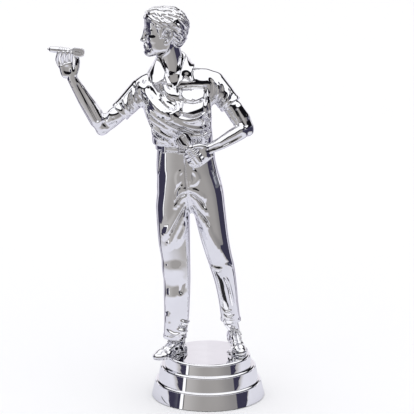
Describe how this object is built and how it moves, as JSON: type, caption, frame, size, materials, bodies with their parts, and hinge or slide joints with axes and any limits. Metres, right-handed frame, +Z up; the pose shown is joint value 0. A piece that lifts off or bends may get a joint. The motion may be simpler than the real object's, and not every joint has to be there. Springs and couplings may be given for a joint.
{
  "type": "figure trophy",
  "caption": "Chrome-plated darts player in a throwing pose on a round three-tier base, with a threaded insert underneath.",
  "frame": {"origin": "centre of the base's underside, at the mouth of the threaded insert", "axes": "+Z up through the figure, -Y towards the viewer that the figure's chest faces, -X towards the thrown dart"},
  "size_m": [0.0715, 0.038, 0.1319],
  "materials": {
    "chrome_plating": "mirror-bright metal film on moulded plastic",
    "brass_insert": "turned, satin"
  },
  "bodies": {
    "root": {"base_cup": "chrome_plating", "threaded_insert": "brass_insert", "right_shoe": "chrome_plating", "left_shoe": "chrome_plating", "trousers_front": "chrome_plating", "trousers_back": "chrome_plating", "shirt_front": "chrome_plating", "shirt_back": "chrome_plating", "head": "chrome_plating", "throwing_arm": "chrome_plating", "resting_arm": "chrome_plating", "throwing_dart": "chrome_plating", "spare_dart_upper": "chrome_plating", "spare_dart_lower": "chrome_plating"}
  },
  "joints": []
}
